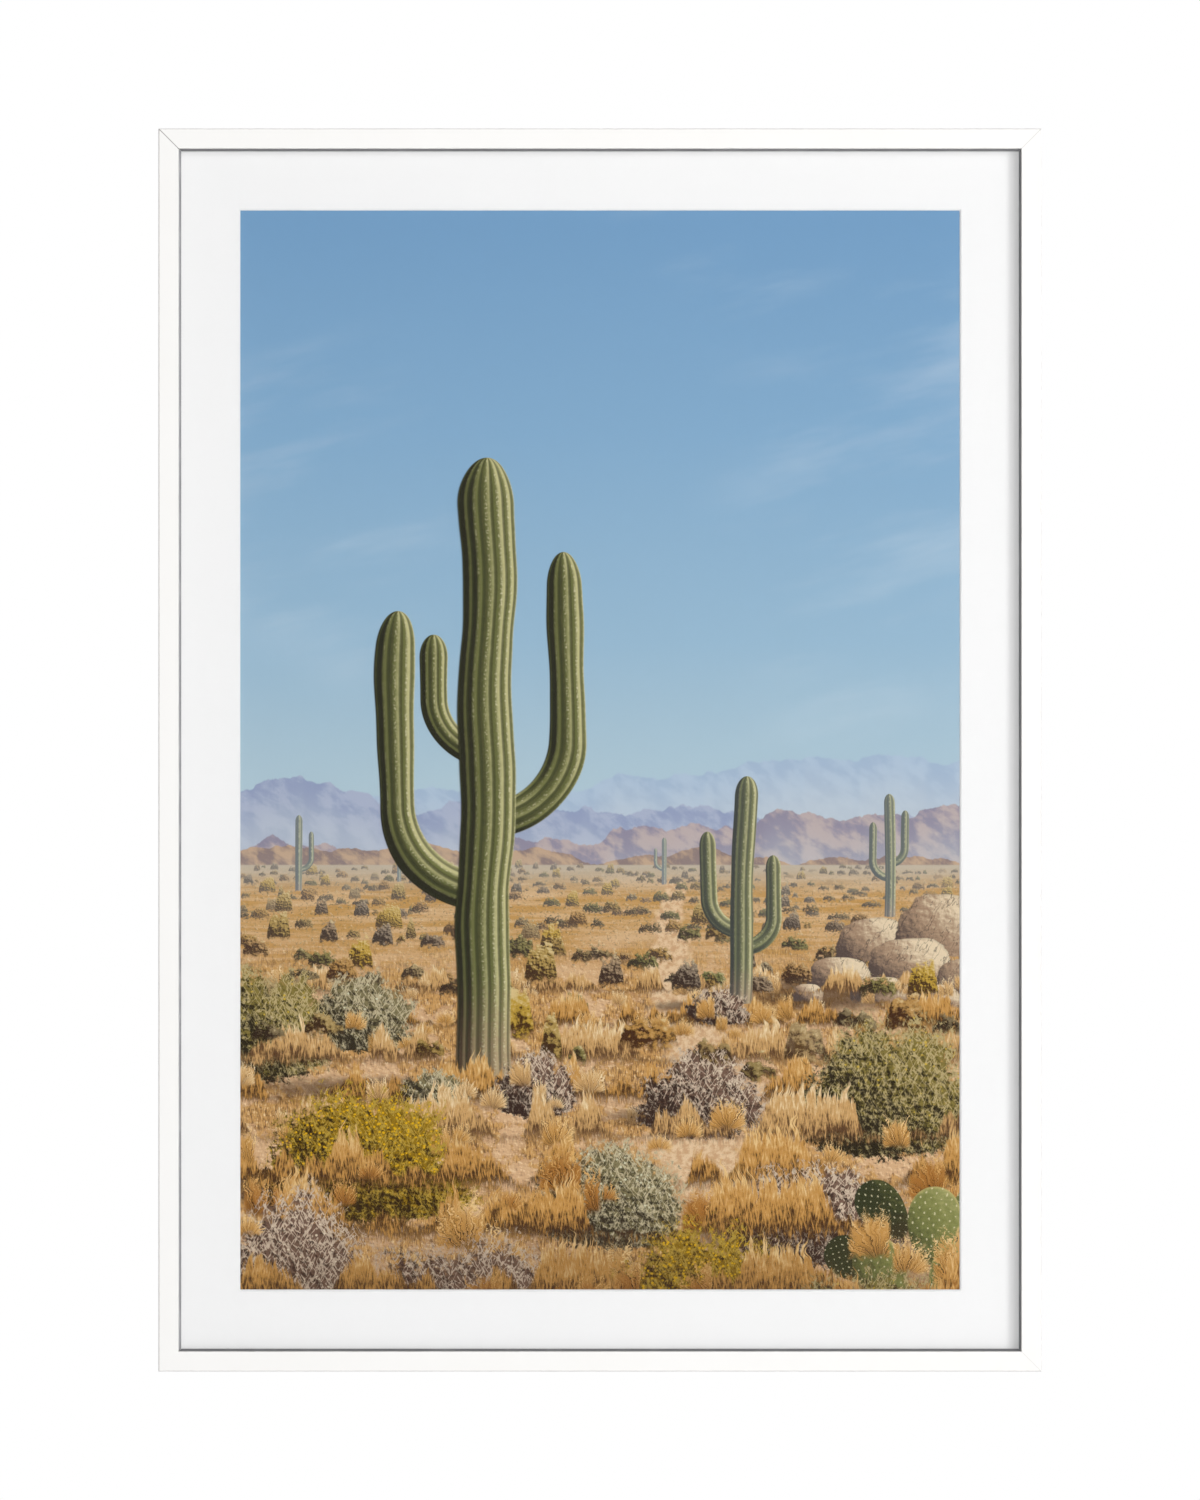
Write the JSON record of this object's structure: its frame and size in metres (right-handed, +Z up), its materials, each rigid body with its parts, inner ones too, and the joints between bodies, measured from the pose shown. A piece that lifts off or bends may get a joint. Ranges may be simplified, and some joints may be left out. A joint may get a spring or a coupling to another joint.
{
  "type": "framed print",
  "caption": "Tall framed print for a wall: slim white mitred wooden frame, dark sight-edge bead, clear glazing, wide white bevelled mat, landscape print, and hardboard back with hangers.",
  "frame": {"origin": "middle of the top rail's back face, on the wall's plane, at the wall mount", "axes": "+Z up along the frame's long sides, +Y backwards into the wall, +X to the right as seen from the front; the picture faces -Y"},
  "size_m": [0.7476, 0.03, 1.0524],
  "materials": {
    "white_lacquer": "satin white lacquer on wood",
    "dark_bead": "matt charcoal",
    "acrylic_glazing": "clear, polished",
    "mat_board": "matt white board with a white core",
    "photo_print": "lustre photographic paper",
    "foam_board": "white paper faces on a foam core",
    "hardboard": "smooth brown pressed fibres",
    "zinc_steel": "zinc plated",
    "rivet_steel": "bright, turned"
  },
  "bodies": {
    "root": {"rail_top": "white_lacquer", "rail_right": "white_lacquer", "rail_bottom": "white_lacquer", "rail_left": "white_lacquer", "bead_top": "dark_bead", "bead_right": "dark_bead", "bead_bottom": "dark_bead", "bead_left": "dark_bead", "glazing": "acrylic_glazing", "mat": "mat_board", "print": "photo_print", "mount_board": "foam_board", "back_board": "hardboard", "tab_top_1": "zinc_steel", "tab_top_2": "zinc_steel", "tab_top_3": "zinc_steel", "tab_top_4": "zinc_steel", "tab_right_1": "zinc_steel", "tab_right_2": "zinc_steel", "tab_right_3": "zinc_steel", "tab_right_4": "zinc_steel", "tab_right_5": "zinc_steel", "tab_right_6": "zinc_steel", "tab_bottom_1": "zinc_steel", "tab_bottom_2": "zinc_steel", "tab_bottom_3": "zinc_steel", "tab_bottom_4": "zinc_steel", "tab_left_1": "zinc_steel", "tab_left_2": "zinc_steel", "tab_left_3": "zinc_steel", "tab_left_4": "zinc_steel", "tab_left_5": "zinc_steel", "tab_left_6": "zinc_steel", "hanger_left": "zinc_steel", "hanger_right": "zinc_steel", "rivet_left_a": "rivet_steel", "rivet_left_b": "rivet_steel", "rivet_right_a": "rivet_steel", "rivet_right_b": "rivet_steel"}
  },
  "joints": []
}
